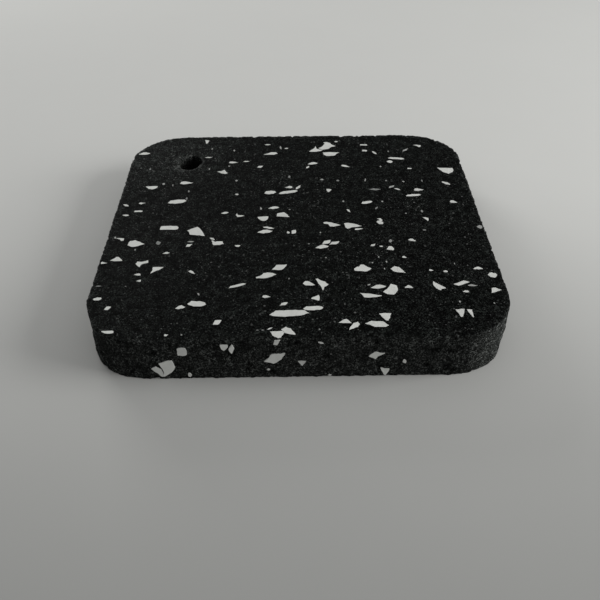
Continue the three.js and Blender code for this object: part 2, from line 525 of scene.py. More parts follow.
def add_gain(tree, colour, factor):
    """A colour times a factor. Returns its output."""
    node = tree.nodes.new("ShaderNodeVectorMath")
    node.operation = "SCALE"
    tree.links.new(colour, node.inputs[0])
    tree.links.new(factor, node.inputs["Scale"])
    return node.outputs[0]


def add_texture(tree, kind, place, scale, **settings):
    """A noise or Voronoi texture read at a place. Returns the node."""
    node = tree.nodes.new(kind)
    for name, value in settings.items():
        if name in node.inputs:
            node.inputs[name].default_value = value
        else:
            setattr(node, name, value)
    tree.links.new(place, node.inputs["Vector"])
    set_socket(tree, node.inputs["Scale"], scale)
    return node


def solid_colour(colour):
    """A colour property as four numbers."""
    return (*colour[:3], 1.0)


def own_values(tree, texture):
    """The three random numbers that each cell of a Voronoi texture has for its own."""
    split = tree.nodes.new("ShaderNodeSeparateColor")
    tree.links.new(texture.outputs["Color"], split.inputs[0])
    return split.outputs


def crumb_grain_group():
    """Packed crumbs: their height, the seams between them and a tone of their own for each."""
    group, start, end = new_group(
        "crumb grain",
        (
            ("Place", "NodeSocketVector", None),
            ("Crumbs per metre", "NodeSocketFloat", 900.0),
            ("Grains per metre", "NodeSocketFloat", 2600.0),
        ),
        (("Height", "NodeSocketFloat"), ("Seam", "NodeSocketFloat"), ("Tone", "NodeSocketFloat")),
    )
    place = start.outputs["Place"]
    scale = start.outputs["Crumbs per metre"]
    grain_scale = start.outputs["Grains per metre"]
    # The crumbs' outlines are bent by up to this length
    bend_length = 1.4 * MM
    bend = add_texture(group, "ShaderNodeTexNoise", place, scale, Detail=3.0, Roughness=0.7)
    shift = group.nodes.new("ShaderNodeVectorMath")
    shift.operation = "MULTIPLY_ADD"
    group.links.new(bend.outputs["Color"], shift.inputs[0])
    shift.inputs[1].default_value = (bend_length,) * 3
    group.links.new(place, shift.inputs[2])
    bent = shift.outputs[0]
    crumb = own_values(group, add_texture(group, "ShaderNodeTexVoronoi", bent, scale, feature="F1"))
    edges = add_texture(group, "ShaderNodeTexVoronoi", bent, scale, feature="DISTANCE_TO_EDGE")
    seam = add_range(group, edges.outputs["Distance"], 0.0, 0.13, 1.0, 0.0)
    fine = add_texture(group, "ShaderNodeTexNoise", place, grain_scale, Detail=4.0, Roughness=0.8)
    grain = own_values(
        group, add_texture(group, "ShaderNodeTexVoronoi", place, grain_scale, feature="F1"))
    # Height: fine noise on crumbs of uneven height, with the seams sunk
    own_height = add_math(group, "MULTIPLY", crumb[0], 0.4)
    ground = add_math(group, "MULTIPLY_ADD", fine.outputs["Fac"], 1.0, own_height)
    height = add_math(group, "SUBTRACT", ground, add_math(group, "MULTIPLY", seam, 0.3))
    # Tone: few pale grains among many dark ones, in lighter and darker crumbs and patches
    grain_tone = add_math(group, "POWER", grain[1], 3.0)
    mottle = add_math(group, "MULTIPLY", grain_tone, add_range(group, fine.outputs["Fac"], 0.32, 0.62))
    patch_scale = add_math(group, "MULTIPLY", scale, 0.42)
    patches = add_texture(group, "ShaderNodeTexNoise", place, patch_scale, Detail=2.0)
    patch_tone = add_range(group, patches.outputs["Fac"], 0.34, 0.64, 0.55, 1.5)
    crumb_tone = add_math(group, "MULTIPLY_ADD", crumb[1], 0.8, 0.6)
    tone = add_math(group, "MULTIPLY", mottle, add_math(group, "MULTIPLY", patch_tone, crumb_tone))
    group.links.new(height, end.inputs["Height"])
    group.links.new(seam, end.inputs["Seam"])
    group.links.new(tone, end.inputs["Tone"])
    return group


def dust_specks_group():
    """Fine specks: a mask of small soft dots, on a share of the cells only."""
    group, start, end = new_group(
        "dust specks",
        (
            ("Place", "NodeSocketVector", None),
            ("Specks per metre", "NodeSocketFloat", 900.0),
            ("Share", "NodeSocketFloat", 0.2),
            ("Speck size", "NodeSocketFloat", 0.25),
        ),
        (("Mask", "NodeSocketFloat"),),
    )
    cells = add_texture(
        group, "ShaderNodeTexVoronoi", start.outputs["Place"], start.outputs["Specks per metre"],
        feature="F1")
    choice, size, tone = own_values(group, cells)
    chosen = add_math(group, "LESS_THAN", choice, start.outputs["Share"])
    radius = add_math(group, "MULTIPLY", start.outputs["Speck size"], size)
    core = add_math(group, "MULTIPLY", radius, 0.4)
    dot = add_range(group, cells.outputs["Distance"], core, radius, 1.0, 0.0)
    strength = add_math(group, "MULTIPLY_ADD", tone, 0.7, 0.3)
    masked = add_math(group, "MULTIPLY", add_math(group, "MULTIPLY", dot, chosen), strength)
    group.links.new(masked, end.inputs["Mask"])
    return group


def shared_group(name, maker):
    """A node group by name, made on first use."""
    return bpy.data.node_groups.get(name) or maker()


def place_group(tree, group, **values):
    """A node group's node, with its inputs set from sockets or numbers."""
    node = tree.nodes.new("ShaderNodeGroup")
    node.node_tree = group
    for name, value in values.items():
        set_socket(tree, node.inputs[name.replace("_", " ")], value)
    return node


def new_material(name):
    """An empty node material with its shader and the object coordinates."""
    material = bpy.data.materials.new(name)
    material.use_nodes = True
    tree = material.node_tree
    tree.nodes.clear()
    output = tree.nodes.new("ShaderNodeOutputMaterial")
    shader = tree.nodes.new("ShaderNodeBsdfPrincipled")
    tree.links.new(shader.outputs["BSDF"], output.inputs["Surface"])
    coordinates = tree.nodes.new("ShaderNodeTexCoord")
    return material, tree, shader, coordinates.outputs["Object"]


def add_bump(tree, height, distance):
    """A bump node on a height times a distance in metres. Returns its normal."""
    node = tree.nodes.new("ShaderNodeBump")
    node.inputs["Strength"].default_value = 1.0
    node.inputs["Distance"].default_value = distance
    tree.links.new(height, node.inputs["Height"])
    return node.outputs["Normal"]


def read_attribute(tree, name):
    """The value that a mesh keeps for a material, by name."""
    node = tree.nodes.new("ShaderNodeAttribute")
    node.attribute_name = name
    return node.outputs["Fac"]


def black_rubber_material(settings):
    """Black crumb rubber: a fine smooth grain on the faces, coarser and dustier on the cut sides, with
    painted light, painted sheen and painted shade in its colour.
    """
    material, tree, shader, place = new_material("black_crumb_rubber")
    side = read_attribute(tree, "side")
    painted_pit_shade = read_attribute(tree, "painted_pit_shade")
    dust_and_painted_light = read_attribute(tree, "dust_and_painted_light")
    grain = place_group(
        tree, shared_group("crumb grain", crumb_grain_group), Place=place, Crumbs_per_metre=850.0,
        Grains_per_metre=3800.0)
    tone = grain.outputs["Tone"]
    # Crumbs of the faces and of the sides, made lighter by painted light on the sides facing right and by
    # dust and painted sheen beside the hole
    crumbs = add_mix(
        tree, tone, solid_colour(settings.rubber_colour), solid_colour(settings.crumb_colour))
    side_crumbs = add_mix(
        tree, tone, solid_colour(settings.side_colour), solid_colour(settings.side_crumb_colour))
    dust_and_light_gain = add_math(tree, "ADD", dust_and_painted_light, 1.0)
    base = add_gain(tree, add_mix(tree, side, crumbs, side_crumbs), dust_and_light_gain)
    # Larger and finer specks of dust, in patches, and more of them where the dust and painted light mask
    # is high
    speck_strength = 0.8
    specks = shared_group("dust specks", dust_specks_group)
    dust = place_group(tree, specks, Place=place, Specks_per_metre=1000.0, Share=0.22, Speck_size=0.42)
    fine_dust = place_group(
        tree, specks, Place=place, Specks_per_metre=2400.0, Share=0.14, Speck_size=0.6)
    masks = add_math(
        tree, "MAXIMUM", add_math(tree, "MULTIPLY", dust.outputs["Mask"], speck_strength),
        add_math(tree, "MULTIPLY", fine_dust.outputs["Mask"], speck_strength))
    patches = add_texture(tree, "ShaderNodeTexNoise", place, 70.0, Detail=3.0, Roughness=0.6)
    spread = add_math(
        tree, "MULTIPLY_ADD", dust_and_painted_light, 0.5, add_range(tree, patches.outputs["Fac"], 0.35, 0.68, 0.25, 1.0))
    specked = add_mix(
        tree, add_math(tree, "MULTIPLY", masks, spread), base, solid_colour(settings.dust_colour))
    # Painted shade: seams and pits are nearly black, and show most on the sides
    seam_shade_strength = add_math(tree, "MULTIPLY_ADD", side, 0.4, 0.25)
    seams = add_math(tree, "MULTIPLY", grain.outputs["Seam"], seam_shade_strength)
    hollow_shade = add_math(tree, "MAXIMUM", seams, add_math(tree, "MULTIPLY", painted_pit_shade, 0.8))
    painted_shade = add_mix(tree, hollow_shade, specked, (0.0012, 0.0012, 0.0012, 1.0))
    tree.links.new(painted_shade, shader.inputs["Base Color"])
    roughness = add_range(tree, grain.outputs["Height"], 0.1, 1.2, 0.7, 0.45)
    tree.links.new(roughness, shader.inputs["Roughness"])
    shader.inputs["Specular IOR Level"].default_value = 0.005
    shader.inputs["Sheen Weight"].default_value = 0.01
    shader.inputs["Sheen Roughness"].default_value = 0.25
    # The faces have half the relief of the sides
    relief_depth = add_math(tree, "MULTIPLY_ADD", side, 0.5, 0.5)
    relief = add_math(tree, "MULTIPLY", grain.outputs["Height"], relief_depth)
    tree.links.new(add_bump(tree, relief, 0.3 * MM), shader.inputs["Normal"])
    return material


def pale_rubber_material(settings):
    """Pale grey rubber of the chips, each with a tone of its own, a faint grain and a little soil."""
    material, tree, shader, place = new_material("pale_chip_rubber")
    grain = place_group(
        tree, shared_group("crumb grain", crumb_grain_group), Place=place, Crumbs_per_metre=1500.0)
    soil = place_group(
        tree, shared_group("dust specks", dust_specks_group), Place=place, Specks_per_metre=1900.0,
        Share=0.1, Speck_size=0.4)
    clouds = add_texture(tree, "ShaderNodeTexNoise", place, 420.0, Detail=3.0, Roughness=0.6)
    light = add_math(
        tree, "MULTIPLY", read_attribute(tree, "tone"),
        add_range(tree, clouds.outputs["Fac"], 0.25, 0.75, 0.86, 1.0))
    rubber = add_mix(tree, light, solid_colour(settings.grey_colour), solid_colour(settings.chip_colour))
    soiled = add_mix(
        tree, add_math(tree, "MULTIPLY", soil.outputs["Mask"], 0.45), rubber, (0.05, 0.05, 0.045, 1.0))
    tree.links.new(soiled, shader.inputs["Base Color"])
    tree.links.new(
        add_range(tree, grain.outputs["Height"], 0.1, 1.2, 0.9, 0.65), shader.inputs["Roughness"])
    shader.inputs["Specular IOR Level"].default_value = 0.3
    tree.links.new(add_bump(tree, grain.outputs["Height"], 0.06 * MM), shader.inputs["Normal"])
    return material


def floor_material(settings):
    """Plain pale matt floor with a barely seen mottle, and painted shade that darkens it towards the
    front.
    """
    material, tree, shader, place = new_material("pale_floor")
    mottle = add_texture(tree, "ShaderNodeTexNoise", place, 30.0, Detail=4.0, Roughness=0.6)
    darker = (*(part * 0.97 for part in settings.floor_colour), 1.0)
    mottled = add_mix(tree, mottle.outputs["Fac"], darker, solid_colour(settings.floor_colour))
    # Painted shade: the floor is painted darker towards the front, where the light from behind falls off
    split = tree.nodes.new("ShaderNodeSeparateXYZ")
    tree.links.new(place, split.inputs[0])
    front, back = -160 * MM, 50 * MM
    fade = add_range(tree, split.outputs["Y"], front, back, 0.52, 1.08)
    tree.links.new(add_gain(tree, mottled, fade), shader.inputs["Base Color"])
    shader.inputs["Roughness"].default_value = 0.9
    shader.inputs["Specular IOR Level"].default_value = 0.1
    return material


# Meshes

def new_object(name, built, material):
    """A scene object at the origin from a built bmesh, which is freed."""
    mesh = bpy.data.meshes.new(name)
    built.to_mesh(mesh)
    built.free()
    mesh.materials.append(material)
    made = bpy.data.objects.new(name, mesh)
    bpy.context.scene.collection.objects.link(made)
    return made


def only(kind, parts):
    """The vertices, edges or faces among mixed mesh parts."""
    return [part for part in parts if isinstance(part, kind)]


def corner_angle(x, y, radius):
    """How many degrees round the front left corner a point of the plan lies, or None."""
    across = -(x + WIDTH / 2 - radius)
    along = -(y + DEPTH / 2 - radius)
    if across < 0 or along < 0 or math.hypot(across, along) < 0.5 * radius:
        return None
    return math.degrees(math.atan2(across, along))


def upper_bulge(x, y, slab):
    """How far the upper edge stands out there, as the front left corner was cut unevenly."""
    angle = corner_angle(x, y, slab.corner_radius)
    if angle is None:
        return 0.0
    fuller = smooth_step(*FULLER_RISE, angle) * smooth_step(*FULLER_FADE, angle)
    cut_back = smooth_step(*CUT_BACK_RISE, angle) * smooth_step(*CUT_BACK_FADE, angle)
    return slab.corner_bulge * (fuller - CUT_BACK_SHARE * cut_back)


def left_corner_shift(place, from_edge, slab):
    """How the side of the front left corner moves out or in there, as it was cut unevenly."""
    angle = corner_angle(place.x, place.y, slab.corner_radius)
    if angle is None or from_edge >= CORNER_REACH:
        return Vector((0, 0, 0))
    raised = (place.z - UNDERSIDE) / THICKNESS
    spread = upper_bulge(place.x, place.y, slab) * smooth_step(0.15, 1.0, raised)
    foot = smooth_step(0.7, 0.1, raised) * smooth_step(*FOOT_RISE, angle)
    spread += slab.flare * foot * smooth_step(*FOOT_FADE, angle)
    waist = smooth_step(1.0, 0.6, raised) * smooth_step(*WAIST_RISE, angle)
    spread -= WAIST_SHARE * slab.flare * waist * smooth_step(*WAIST_FADE, angle)
    centre = Vector((slab.corner_radius - WIDTH / 2, slab.corner_radius - DEPTH / 2))
    radial = (place.to_2d() - centre).normalized() * spread * smooth_step(*CORNER_FADE, from_edge)
    return radial.to_3d()


def toe_shift(place, from_edge, slab):
    """How the foot of the front right corner moves inwards there, as it was cut back."""
    centre = Vector((WIDTH / 2 - slab.corner_radius, slab.corner_radius - DEPTH / 2))
    out = Vector((max(place.x - centre.x, 0.0), min(place.y - centre.y, 0.0), 0.0))
    if out.length < 0.5 * slab.corner_radius:
        return Vector((0, 0, 0))
    facing = out.normalized()
    low = smooth_step(*TOE_HEIGHT, (place.z - UNDERSIDE) / THICKNESS)
    share = smooth_step(*TOE_TURN, facing.x) * smooth_step(*TOE_END, place.y)
    return facing * -slab.toe_cut * low * share * smooth_step(*CORNER_FADE, from_edge)


def stand_out(y, slab):
    """How far the crumbs of the cut sides stand out there, a little more towards the back."""
    return slab.side_bulge * (1 + BACK_SHARE * smooth_step(*BACK_RISE, y))


def outline_distance(x, y, radius):
    """How far a point of the plan lies outside the slab's outline, or inside it as a negative."""
    past_x = abs(x) - (WIDTH / 2 - radius)
    past_y = abs(y) - (DEPTH / 2 - radius)
    outside = math.hypot(max(past_x, 0.0), max(past_y, 0.0))
    return outside + min(max(past_x, past_y), 0.0) - radius


def hole_share(x, y, settings, margin=0.0):
    """Below 1 inside the oval hole, widened by a margin."""
    across = (x - settings.hole_centre[0]) / (settings.hole_size[0] / 2 + margin)
    along = (y - settings.hole_centre[1]) / (settings.hole_size[1] / 2 + margin)
    return math.hypot(across, along)


def hole_gap(x, y, settings):
    """About how far a point of the plan lies outside the hole, or inside it as a negative."""
    return (hole_share(x, y, settings) - 1) * settings.hole_size[0] / 2


def loop_at(built, height, inside):
    """The open edges at a height whose middles pass a test."""
    found = []
    for edge in built.edges:
        middle = (edge.verts[0].co + edge.verts[1].co) / 2
        level = abs(middle.z - height) < LEVEL_TOLERANCE
        if level and len(edge.link_faces) == 1 and inside(middle):
            found.append(edge)
    return found


def climb(edge):
    """How much higher one end of an edge is than the other."""
    return abs(edge.verts[0].co.z - edge.verts[1].co.z)


def slab_sides(built, settings):
    """The slab's side wall in rows, with narrow rims on the upper and lower face."""
    bmesh.ops.create_grid(built, x_segments=1, y_segments=1, size=0.5)
    bmesh.ops.scale(built, vec=(WIDTH, DEPTH, 1), verts=built.verts)
    bmesh.ops.translate(built, vec=(0, 0, UNDERSIDE), verts=built.verts)
    quarter = math.pi / 2 * settings.corner_radius
    bmesh.ops.bevel(
        built, geom=built.verts[:], offset=settings.corner_radius, offset_type="OFFSET",
        affect="VERTICES", segments=round(quarter / settings.chord), profile=0.5, material=-1)
    # The four straight edges are far longer than the short ones round the corners
    straight = [edge for edge in built.edges if edge.calc_length() > 4 * settings.chord]
    cuts = round(straight[0].calc_length() / settings.chord) - 1
    bmesh.ops.subdivide_edges(built, edges=straight, cuts=cuts)
    raised = bmesh.ops.extrude_face_region(built, geom=built.faces[:])["geom"]
    bmesh.ops.translate(built, vec=(0, 0, THICKNESS), verts=only(bmesh.types.BMVert, raised))
    uprights = [edge for edge in built.edges if climb(edge) > THICKNESS / 2]
    rows = round(THICKNESS / settings.chord) - 1
    bmesh.ops.subdivide_edges(built, edges=uprights, cuts=rows, use_grid_fill=True)
    for level in (UNDERSIDE, TOP):
        cap = max(
            (face for face in built.faces if abs(face.calc_center_median().z - level) < LEVEL_TOLERANCE),
            key=lambda face: face.calc_area())
        for rim in SLAB_RIMS:
            bmesh.ops.inset_region(built, faces=[cap], thickness=rim, use_even_offset=True)
        bmesh.ops.delete(built, geom=[cap], context="FACES_ONLY")


def hole_sides(built, settings):
    """The hanging hole's wall in rows, with narrow rims on both faces."""
    centre = Vector((*settings.hole_centre, 0))
    steps = round(math.pi * sum(settings.hole_size) / 2 / settings.chord)
    ring = bmesh.ops.create_circle(built, segments=steps, radius=0.5, cap_ends=False)["verts"]
    bmesh.ops.scale(built, vec=(*settings.hole_size, 1), verts=ring)
    bmesh.ops.translate(built, vec=centre + Vector((0, 0, UNDERSIDE)), verts=ring)
    edges = list({edge for vert in ring for edge in vert.link_edges})
    lower = edges
    rows = round(THICKNESS / settings.chord)
    for _ in range(rows):
        grown = bmesh.ops.extrude_edge_only(built, edges=edges)["geom"]
        bmesh.ops.translate(
            built, vec=(0, 0, THICKNESS / rows), verts=only(bmesh.types.BMVert, grown))
        edges = [edge for edge in only(bmesh.types.BMEdge, grown) if climb(edge) < LEVEL_TOLERANCE]
    for loop in (lower, edges):
        across, along = settings.hole_size
        for rim in HOLE_RIMS:
            grown = bmesh.ops.extrude_edge_only(built, edges=loop)["geom"]
            wider = ((across + 2 * rim) / across, (along + 2 * rim) / along, 1)
            bmesh.ops.scale(
                built, vec=wider, verts=only(bmesh.types.BMVert, grown),
                space=Matrix.Translation(-centre))
            across, along = across + 2 * rim, along + 2 * rim
            added = set(only(bmesh.types.BMVert, grown))
            loop = [
                edge for edge in only(bmesh.types.BMEdge, grown)
                if edge.verts[0] in added and edge.verts[1] in added
            ]


def face_field(built, level, settings):
    """A field of small squares at a height, joined to the rims by narrow fills."""
    count = round(WIDTH / settings.face_chord)
    made = bmesh.ops.create_grid(
        built, x_segments=count, y_segments=count, size=0.5,
        matrix=Matrix.Translation((0, 0, level)) @ Matrix.Diagonal((WIDTH, DEPTH, 1, 1)))["verts"]
    away = [
        vert for vert in made
        if outline_distance(vert.co.x, vert.co.y, settings.corner_radius) > -FIELD_MARGIN
        or hole_share(vert.co.x, vert.co.y, settings, FIELD_HOLE_MARGIN) < 1
    ]
    bmesh.ops.delete(built, geom=away, context="VERTS")

    def near_hole(middle):
        return hole_share(middle.x, middle.y, settings, HOLE_FILL_REACH) < 1

    for inside in (near_hole, lambda middle: not near_hole(middle)):
        bmesh.ops.triangle_fill(built, edges=loop_at(built, level, inside), use_beauty=True)


def hole_wear(place, settings):
    """How worn the hole's rim is there, the shift of its uneven side, and how much painted shade darkens
    its inside.

    The left rim has crumbled away, and the front right side was cut too narrow.
    """
    from_hole = hole_gap(place.x, place.y, settings)
    if from_hole > HOLE_WEAR_REACH:
        return 0.0, Vector((0, 0, 0)), 0.0
    x, y = settings.hole_centre
    outward = Vector((place.x - x, place.y - y, 0)).normalized()
    below = TOP - place.z
    worn = smooth_step(*HOLE_WEAR_FADE, from_hole) * smooth_step(*HOLE_WEAR_SIDE, -outward.x)
    worn *= smooth_step(*HOLE_WEAR_DEPTH, below)
    uneven = smooth_step(0.55, 1.0, outward.dot(NARROW_SIDE))
    narrowed = -outward * NARROW_BY * uneven * smooth_step(*NARROW_FADE, from_hole)
    # Painted shade, deeper inside the hole and near its wall
    painted_shade = smooth_step(*HOLE_SHADE_DEPTH, below) * smooth_step(*HOLE_SHADE_FADE, from_hole)
    return worn, narrowed, painted_shade * (1 - 0.75 * worn)


def dust_and_light_share(place, normal, settings):
    """How much lighter the slab is painted there: painted light most on the sides of the front right
    corner, and painted sheen with some dust round the hole.
    """
    if normal.z < 0.5:
        # The sides that face right get painted light, as the key light falls from the right
        return smooth_step(*PAINTED_LIGHT_TURN, normal.x) * smooth_step(*PAINTED_LIGHT_SIDE, place.y)
    x, y = settings.hole_centre
    away = math.hypot(place.x - x - SHEEN_AND_DUST_PLACE[0], place.y - y - SHEEN_AND_DUST_PLACE[1])
    return smooth_step(*SHEEN_AND_DUST_FADE, away)


def crumb_relief(place, size):
    """How sunk a place is between crumbs, from 0 to 1, and how deep its own crumb lies, from -1 to 1."""
    # A crumb's own depth is read at its middle, spread out and moved so that no two crumbs share it
    spread, moved = 9.7, Vector((3.1, 5.7, 1.9))
    distances, points = noise.voronoi(place / size)
    seam = clamp(1 - (distances[1] - distances[0]) / SEAM_WIDTH)
    return seam, noise.cell(points[0] * spread + moved)


def crumb_depth(place, side, rim, seam, own, lost, settings):
    """How far the crumb relief sinks a place: fine on the faces, coarser at the rims and on the sides."""
    depth = settings.face_relief * (0.6 * seam + OWN_HEIGHT_SHARE * own)
    depth += settings.side_relief * side * (0.5 * seam ** 1.5 + OWN_HEIGHT_SHARE * own + 1.1 * lost)
    depth += 0.5 * settings.side_relief * rim * (1 - side) * (0.4 * seam + lost)
    return depth + WAVE_HEIGHT * side * clamp(0.5 + noise.noise(place / WAVE_LENGTH))


def roughen_slab(built, settings):
    """Sinks the surface between the crumbs, and stores where it is side, where painted shade darkens
    seams, pits and the hole's inside, and where dust and painted light make it lighter.
    """
    side_layer = built.verts.layers.float.new("side")
    pit_shade_layer = built.verts.layers.float.new("painted_pit_shade")
    dust_and_light_layer = built.verts.layers.float.new("dust_and_painted_light")
    built.normal_update()
    moves = []
    for vert in built.verts:
        place = vert.co.copy()
        normal = vert.normal.copy()
        side = smooth_step(0.05, 0.6, math.hypot(normal.x, normal.y))
        from_edge = -outline_distance(place.x, place.y, settings.corner_radius)
        rim = smooth_step(*RIM_FADE, min(from_edge, abs(hole_gap(place.x, place.y, settings))))
        seam, own = crumb_relief(place, settings.crumb_size)
        lost = 1.0 if own > LOST_CRUMB else 0.0
        worn, narrowed, painted_shade = hole_wear(place, settings)
        depth = crumb_depth(place, side, rim, seam, own, lost, settings)
        depth += worn * settings.side_relief * (1 + 2 * lost + 1.5 * own)
        level = Vector((normal.x, normal.y, 0)).normalized()
        move = normal * -depth + narrowed
        move += level * stand_out(place.y, settings) * side
        move += toe_shift(place, from_edge, settings)
        move += left_corner_shift(place, from_edge, settings)
        ragged = rim * smooth_step(0.05, 0.4, noise.noise(place / RAGGED_LENGTH))
        side = max(side, worn, 0.7 * ragged)
        vert[side_layer] = side
        # Dust and painted light: painted light on the sides facing right, painted sheen with some dust
        # beside the hole, and the worn left rim of the hole
        vert[dust_and_light_layer] = max(worn, dust_and_light_share(place, normal, settings))
        # Painted shade in the seams and lost crumbs of the sides, and deep inside the hole
        vert[pit_shade_layer] = clamp(side * (0.4 * seam + 0.8 * lost) + painted_shade)
        moves.append((vert, move))
    for vert, move in moves:
        vert.co += move


def build_slab(settings):
    """The whole slab as one closed mesh with its crumb relief."""
    built = bmesh.new()
    slab_sides(built, settings)
    hole_sides(built, settings)
    face_field(built, UNDERSIDE, settings)
    face_field(built, TOP, settings)
    bmesh.ops.remove_doubles(built, verts=built.verts, dist=WELD_DISTANCE)
    bmesh.ops.recalc_face_normals(built, faces=built.faces)
    roughen_slab(built, settings)
    for face in built.faces:
        face.smooth = True
    return built


def outline_slope(x, y, radius):
    """The direction in plan in which a point gets out of the slab's outline fastest."""
    slope = Vector((
        outline_distance(x + SLOPE_STEP, y, radius) - outline_distance(x - SLOPE_STEP, y, radius),
        outline_distance(x, y + SLOPE_STEP, radius) - outline_distance(x, y - SLOPE_STEP, radius)))
    return slope.normalized()


def wall_place(along, radius):
    """A point of the slab's side in plan and its outward direction.

    along is the way round the outline in metres, anticlockwise from the middle of the front.
    """
    flat_x = WIDTH / 2 - radius
    flat_y = DEPTH / 2 - radius
    quarter = math.pi / 2 * radius
    runs = (flat_x, quarter, 2 * flat_y, quarter, 2 * flat_x, quarter, 2 * flat_y, quarter, flat_x)
    along = along % sum(runs)
    point, heading = Vector((0, -DEPTH / 2)), 0.0
    for index, run in enumerate(runs):
        part = min(along, run)
        if index % 2:
            turn = part / radius
            centre = point + Vector((-math.sin(heading), math.cos(heading))) * radius
            heading += turn
            point = centre + Vector((math.sin(heading), -math.cos(heading))) * radius
        else:
            point = point + Vector((math.cos(heading), math.sin(heading))) * part
        along -= part
        if along <= 0:
            break
    return point, Vector((math.sin(heading), -math.cos(heading)))


def scattered_sizes(chance):
    """Outline, width, depth, turn and tone of one more chip, most of them small."""
    width = 1.0 + 4.2 * chance.random() ** 2.2
    depth = width * chance.uniform(0.35, 0.85)
    outline = chance.choice(sorted(name for name in CHIP_OUTLINES if name != "crown"))
    tone = 1.0 if chance.random() < 0.8 else chance.uniform(0.1, 0.6)
    return outline, width, depth, chance.uniform(-25, 25), tone


def far_enough(place, taken, size):
    """Whether a place keeps clear of the chips that are there."""
    return all((place - other).length > 0.6 * (size + reach) for other, reach in taken)


class ChipSetter:
    """Sets pale chips into the slab, all in one mesh and each as a thin closed inlay."""

    def __init__(self, chips, slab):
        self.chips = chips
        self.slab = slab
        self.radius = slab.corner_radius
        self.chance = random.Random(chips.seed)
        self.built = bmesh.new()
        self.tone_layer = self.built.verts.layers.float.new("tone")

    def corners(self, outline, width, depth, turn):
        """A chip's corners about its own middle, with uneven cut edges between them."""
        corners = [Vector((x * width, y * depth)) for x, y in CHIP_OUTLINES[outline]]
        if width * depth < 0:
            corners.reverse()
        fray = min(self.chips.fray, CHIP_FRAY_SHARE * min(abs(width), abs(depth)))
        turned = Matrix.Rotation(math.radians(turn), 2)
        points = []
        for corner, following in zip(corners, corners[1:] + corners[:1]):
            steps = 1 + min(3, int((following - corner).length / CHIP_STEP))
            for step in range(steps):
                frayed = Vector((self.chance.uniform(-fray, fray), self.chance.uniform(-fray, fray)))
                points.append(turned @ (corner.lerp(following, step / steps) + frayed))
        return points

    def inlay(self, points, outward, tone):
        """A thin closed chip: its corners in space, pushed inwards by its depth."""
        face = self.built.faces.new([self.built.verts.new(point) for point in points])
        grown = bmesh.ops.extrude_face_region(self.built, geom=[face])["geom"]
        added = only(bmesh.types.BMVert, grown)
        for vert in added:
            vert.co -= outward * self.chips.sunk
        for vert in added + face.verts[:]:
            vert[self.tone_layer] = tone

    def on_face(self, outline, chip, level, tone):
        """Lets a chip into the walking face or the underside, inside its edge."""
        x, y, width, depth, turn = chip
        up = 1 if level == TOP else -1
        points = []
        for point in self.corners(outline, width * MM, depth * MM, turn):
            place = point + Vector((x * MM, y * MM))
            for _ in range(3):
                past = outline_distance(place.x, place.y, self.radius) + self.chips.edge_gap
                if level == TOP:
                    past -= upper_bulge(place.x, place.y, self.slab)
                if past > 0:
                    place = place - outline_slope(place.x, place.y, self.radius) * past
            points.append(Vector((place.x, place.y, level + up * self.chips.proud)))
        self.inlay(points, Vector((0, 0, up)), tone)

    def on_side(self, outline, chip, tone):
        """Lets a chip into the slab's side, following it round the corners."""
        along, height, width, tall, turn = (*(value * MM for value in chip[:4]), chip[4])
        # The highest crumbs stay under the chips
        proud = OWN_HEIGHT_SHARE * self.slab.side_relief + self.chips.proud
        low, high = UNDERSIDE + SIDE_CHIP_GAP, TOP - SIDE_CHIP_GAP
        points = []
        for point in self.corners(outline, width, tall, turn):
            plan, outward = wall_place(along + point.x, self.radius)
            plan += outward * (stand_out(plan.y, self.slab) + proud)
            place = Vector((plan.x, plan.y, clamp(UNDERSIDE + height + point.y, low, high)))
            points.append(place + toe_shift(place, 0.0, self.slab))
        _, facing = wall_place(along, self.radius)
        self.inlay(points, facing.to_3d(), tone)

    def listed(self):
        """Sets the chips that the photograph shows."""
        for chips, tones in ((FACE_CHIPS, (0.9, 1.0)), (FACE_GREY_CHIPS, (0.0, 0.4))):
            for outline, places in chips.items():
                for chip in places:
                    self.on_face(outline, chip, TOP, self.chance.uniform(*tones))
        for outline, places in FRONT_CHIPS.items():
            for chip in places:
                self.on_side(outline, chip, self.chance.uniform(0.7, 0.95))

    def scattered_below(self):
        """Scatters chips over the underside, clear of its edge, the hole and each other."""
        x_limit, y_limit = WIDTH / 2 / MM - 1, DEPTH / 2 / MM - 1
        taken = []
        while len(taken) < self.chips.underside_count:
            outline, width, depth, turn, tone = scattered_sizes(self.chance)
            place = Vector((
                self.chance.uniform(-x_limit, x_limit), self.chance.uniform(-y_limit, y_limit)))
            x, y = place * MM
            inside = outline_distance(x, y, self.radius) < -0.5 * width * MM
            clear = hole_share(x, y, self.slab, width * MM) > 1
            if inside and clear and far_enough(place, taken, width):
                taken.append((place, width))
                self.on_face(outline, (*place, width, depth, turn), UNDERSIDE, tone)

    def scattered_round(self):
        """Scatters chips over the sides that the photograph doesn't show, clear of each other."""
        seen = WIDTH / 2 + (SEEN_CORNER_TURN - 1) * self.radius
        whole_way = 2 * (WIDTH + DEPTH) - (8 - 2 * math.pi) * self.radius
        from_edge = 0.8 * MM
        taken = []
        while len(taken) < self.chips.side_count:
            outline, width, depth, turn, tone = scattered_sizes(self.chance)
            along = self.chance.uniform(seen, whole_way - seen)
            height = self.chance.uniform(from_edge, THICKNESS - from_edge)
            place = Vector((along / MM, height / MM))
            if far_enough(place, taken, width):
                taken.append((place, width))
                self.on_side(outline, (along / MM, height / MM, width, depth, turn), tone)


def build_chips(chips, slab):
    """All the pale chips as one mesh of thin inlays."""
    setter = ChipSetter(chips, slab)
    setter.listed()
    setter.scattered_below()
    setter.scattered_round()
    bmesh.ops.recalc_face_normals(setter.built, faces=setter.built.faces)
    bmesh.ops.triangulate(setter.built, faces=setter.built.faces[:])
    return setter.built


# Operators

